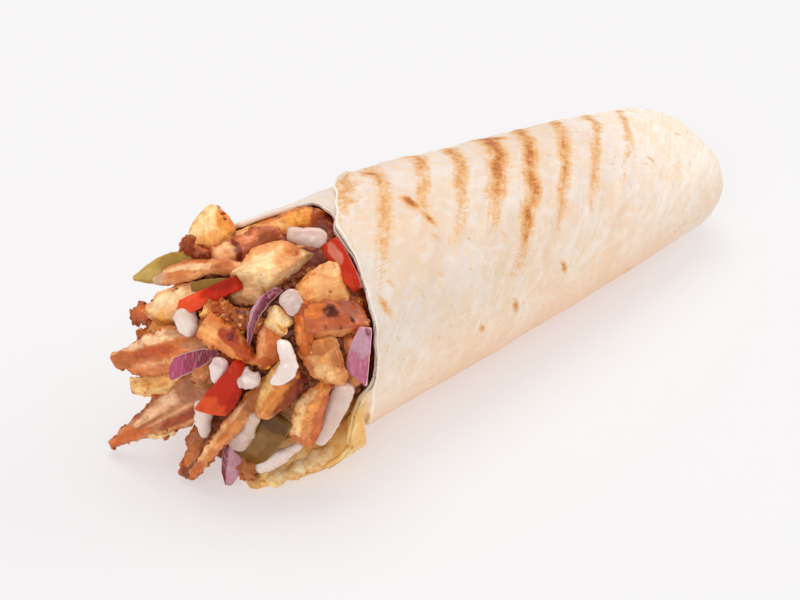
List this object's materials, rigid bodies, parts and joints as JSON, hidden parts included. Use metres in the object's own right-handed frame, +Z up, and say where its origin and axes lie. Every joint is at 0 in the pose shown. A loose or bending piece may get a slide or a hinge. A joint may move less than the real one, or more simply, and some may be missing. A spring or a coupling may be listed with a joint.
{
  "type": "doner kebab sandwich",
  "caption": "Rolled flatbread wrap filled with shaved grilled chicken, tomato, red onion, pickle and garlic sauce, open at one end and folded shut at the other.",
  "frame": {"origin": "centre of the footprint on the surface the wrap lies on", "axes": "+X from the open mouth to the folded end, +Z up"},
  "size_m": [0.2232, 0.0684, 0.0702],
  "materials": {
    "flatbread": "matte pale dough with toasted marks",
    "chicken": "moist grilled meat",
    "tomato": "wet cut tomato",
    "red_onion": "wet cut red onion",
    "pickle": "wet sliced pickle",
    "garlic_sauce": "glossy thick sauce"
  },
  "bodies": {
    "root": {"flatbread": "flatbread", "chicken_filling": "chicken", "tomato_1": "tomato", "tomato_2": "tomato", "tomato_3": "tomato", "red_onion_1": "red_onion", "red_onion_2": "red_onion", "red_onion_3": "red_onion", "red_onion_4": "red_onion", "pickle_1": "pickle", "pickle_2": "pickle", "pickle_3": "pickle", "garlic_sauce_1": "garlic_sauce", "garlic_sauce_2": "garlic_sauce", "garlic_sauce_3": "garlic_sauce", "garlic_sauce_4": "garlic_sauce", "garlic_sauce_5": "garlic_sauce", "garlic_sauce_6": "garlic_sauce", "garlic_sauce_7": "garlic_sauce", "garlic_sauce_8": "garlic_sauce", "garlic_sauce_9": "garlic_sauce", "garlic_sauce_10": "garlic_sauce"}
  },
  "joints": []
}
